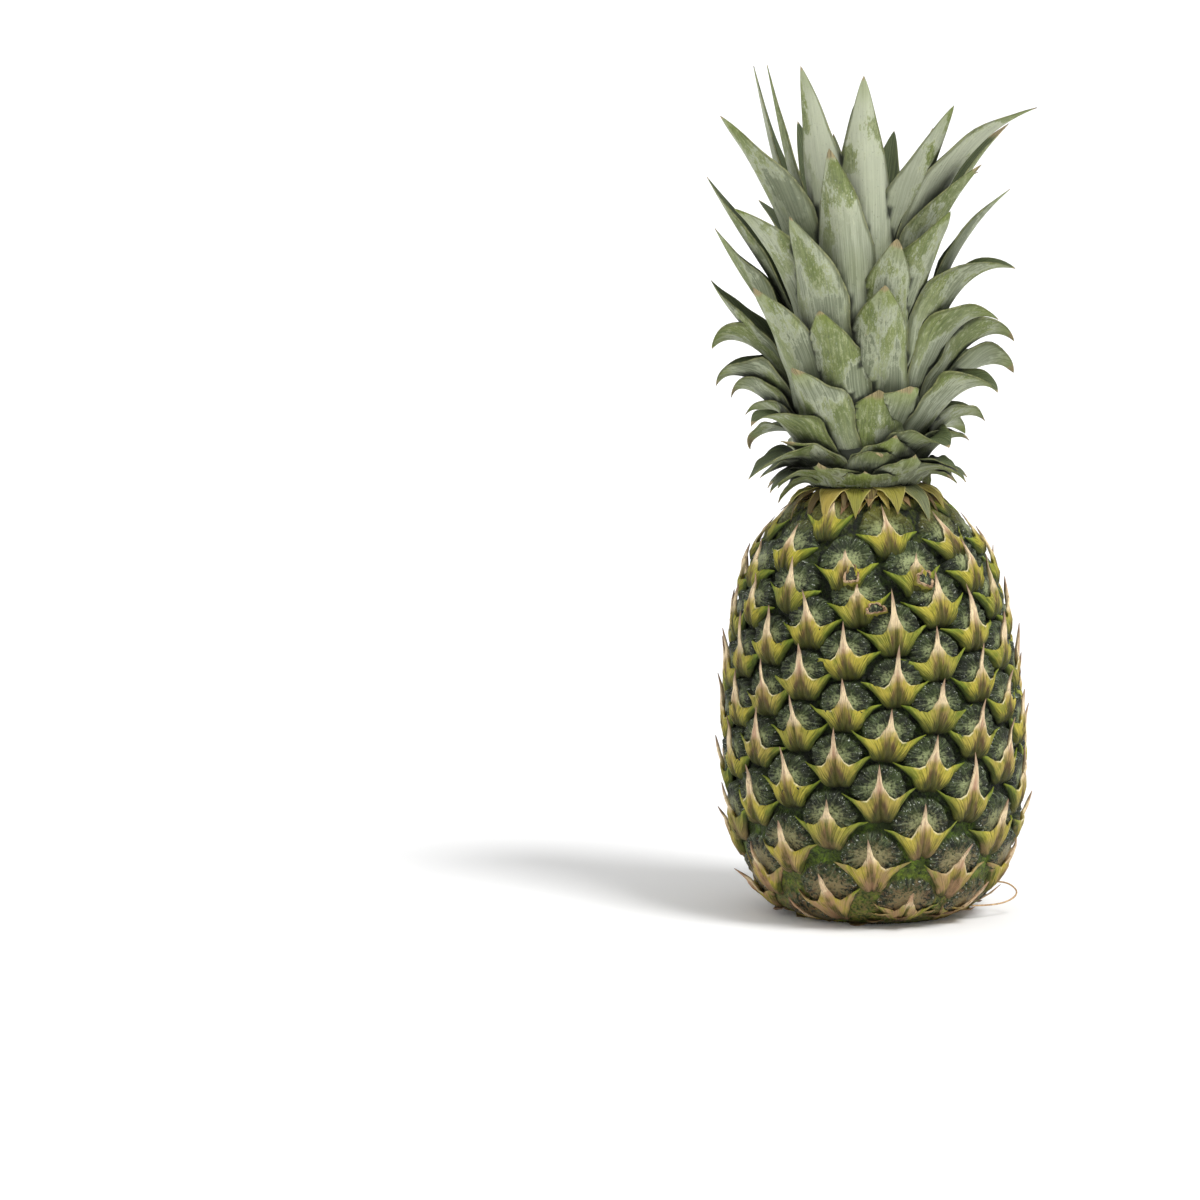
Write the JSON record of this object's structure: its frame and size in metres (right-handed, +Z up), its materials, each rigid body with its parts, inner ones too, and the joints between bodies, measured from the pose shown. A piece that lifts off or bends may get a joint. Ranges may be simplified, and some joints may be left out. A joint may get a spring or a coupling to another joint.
{
  "type": "pineapple",
  "caption": "Whole fresh pineapple standing on its flat base, with spined eyes over the rind, small neck bracts and a full leafy crown.",
  "frame": {"origin": "middle of the flat cut base that the fruit stands on", "axes": "+Z up along the fruit to the crown, -Y is the side with the eye rows seen first, +X to its right"},
  "size_m": [0.1333, 0.1298, 0.3444],
  "materials": {
    "rind": "dark grey-green wrinkled eyes in a semi-gloss waxy rind, each with a yellow-green star of bract that dries to tan at its middle and spine",
    "neck_leaf": "matt yellow-green small leaves with brown dry edges and tips",
    "crown_leaf": "grey-green leaves with a pale powdery bloom rubbed off in patches, darker green inside, some tips dried brown"
  },
  "bodies": {
    "root": {"fruit": "rind", "neck_bracts": "neck_leaf", "crown": "crown_leaf"}
  },
  "joints": []
}
